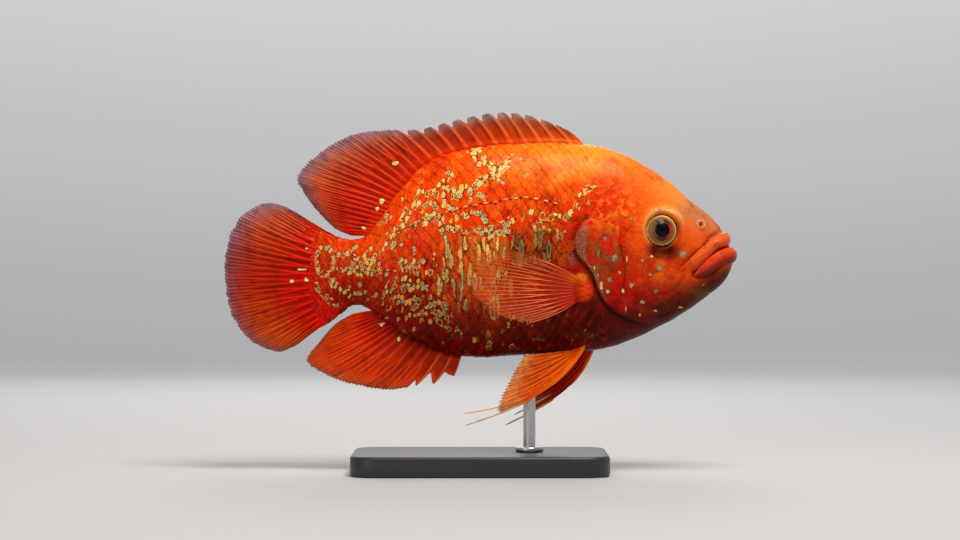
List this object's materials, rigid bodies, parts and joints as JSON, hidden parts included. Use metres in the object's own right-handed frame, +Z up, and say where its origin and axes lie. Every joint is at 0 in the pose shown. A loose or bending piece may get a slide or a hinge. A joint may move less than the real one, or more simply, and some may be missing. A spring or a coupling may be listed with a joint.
{
  "type": "oscar fish model",
  "caption": "Still life-size model of a red oscar cichlid swimming level with all fins spread, held by one rod on a flat display base.",
  "frame": {"origin": "centre of the stand base's flat underside", "axes": "+X towards the fish's snout, +Y towards its left side, +Z up from the stand"},
  "size_m": [0.2499, 0.076, 0.1753],
  "materials": {
    "hide": "wet scaled skin, orange on the back, red on the flanks, dark red on the belly, with cream and pale green flecks",
    "lip": "smooth soft skin, salmon to orange red",
    "fin": "thin membrane between raised rays, orange red, greyish towards the edges",
    "eye": "wet gloss, black pupil in a dark red and olive gold ring",
    "base": "satin black",
    "rod": "fine brushed"
  },
  "bodies": {
    "root": {"head": "hide", "trunk": "hide", "tail_stalk": "hide", "gill_cover_right": "hide", "gill_cover_left": "hide", "upper_lip": "lip", "lower_lip": "lip", "eye_right": "eye", "eye_left": "eye", "dorsal_fin": "fin", "anal_fin": "fin", "tail_fin": "fin", "pectoral_fin_right": "fin", "pectoral_fin_left": "fin", "pelvic_fin_right": "fin", "pelvic_fin_left": "fin", "stand_base": "base", "stand_rod": "rod"}
  },
  "joints": []
}
